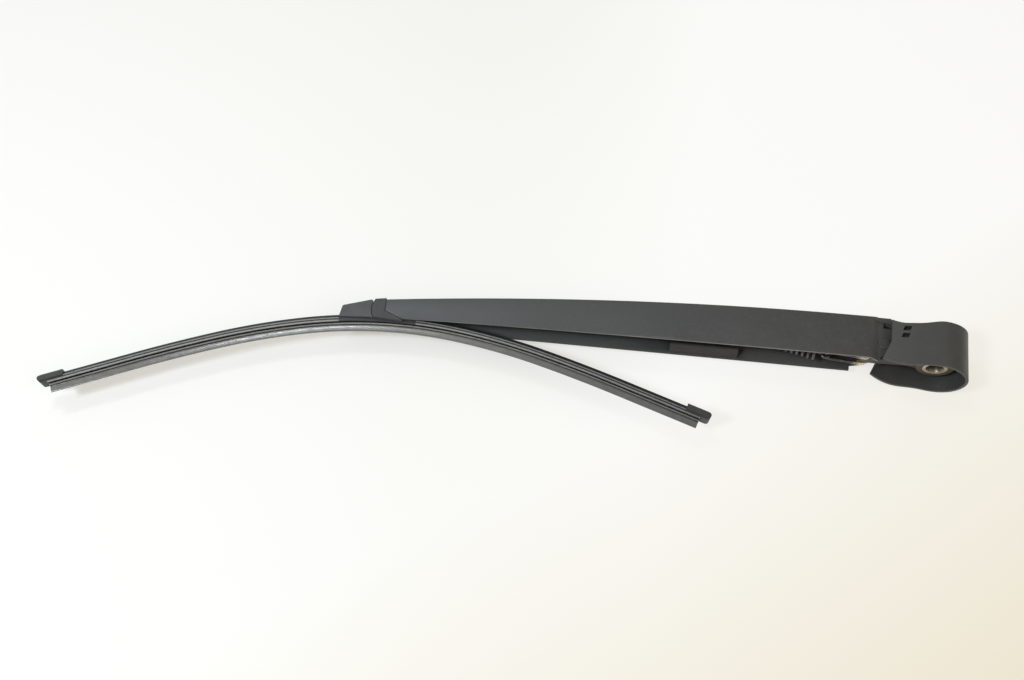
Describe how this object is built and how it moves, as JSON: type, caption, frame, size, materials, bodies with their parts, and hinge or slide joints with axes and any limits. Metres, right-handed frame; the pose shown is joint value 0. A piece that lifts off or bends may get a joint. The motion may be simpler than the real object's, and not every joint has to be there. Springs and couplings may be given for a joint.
{
  "type": "wiper arm",
  "caption": "rear window wiper arm with a hinged pressed-steel channel, tension spring, cast pivot head and a curved flat blade with end caps",
  "frame": {"origin": "middle of the spindle bore in the pivot head", "axes": "+Y points away from the glass along the spindle, the arm runs from the head towards -X, and Z is the pivot direction of the hinge and of the blade"},
  "size_m": [0.5249, 0.1313, 0.0356],
  "materials": {
    "black_satin": "satin",
    "black_plastic": "satin",
    "bush_plastic": "matte",
    "bare_steel": "satin",
    "zinc_wire": "satin",
    "rail_steel": "satin",
    "blade_rubber": "matte",
    "spoiler_rubber": "satin"
  },
  "bodies": {
    "head": {"pivot_head": "black_satin", "pivot_bush": "bare_steel", "nut_cover": "black_plastic", "link_anchor_pin": "bare_steel", "hinge_bush_upper": "bush_plastic", "hinge_bush_lower": "bush_plastic"},
    "arm": {"arm_channel": "black_satin", "hinge_pin": "black_satin", "spring_anchor_pin": "bare_steel", "tension_spring": "zinc_wire", "arm_adapter": "black_plastic"},
    "link": {"tension_link": "zinc_wire"},
    "blade": {"connector_base": "black_plastic", "nose_cover": "black_plastic", "blade_pivot_pin": "bare_steel", "upper_rail": "rail_steel", "lower_rail": "rail_steel", "wiper_rubber": "blade_rubber", "outer_spoiler": "spoiler_rubber", "inner_spoiler": "spoiler_rubber", "outer_end_cap": "black_plastic", "inner_end_cap": "black_plastic"}
  },
  "joints": [
    {"name": "arm_hinge", "type": "hinge", "parent": "head", "child": "arm", "pos_m": [-0.0315, 0.001, 0], "axis": [0, 0, -1], "range_deg": [0, 45], "stiffness_Nm_per_rad": 1.5, "springref_deg": -34.38, "deforming": ["tension_spring"]},
    {"name": "link_pivot", "type": "hinge", "parent": "head", "child": "link", "pos_m": [-0.0415, -0.0058, 0], "axis": [0, 0, -1], "range_deg": [0, 48]},
    {"name": "blade_pivot", "type": "hinge", "parent": "arm", "child": "blade", "pos_m": [-0.317, -0.0292, 0], "axis": [0, 0, 1], "range_deg": [-7, 7]}
  ],
  "couplings": [
    {"joint": "link_pivot", "follows": "arm_hinge", "ratio": 1.06}
  ]
}
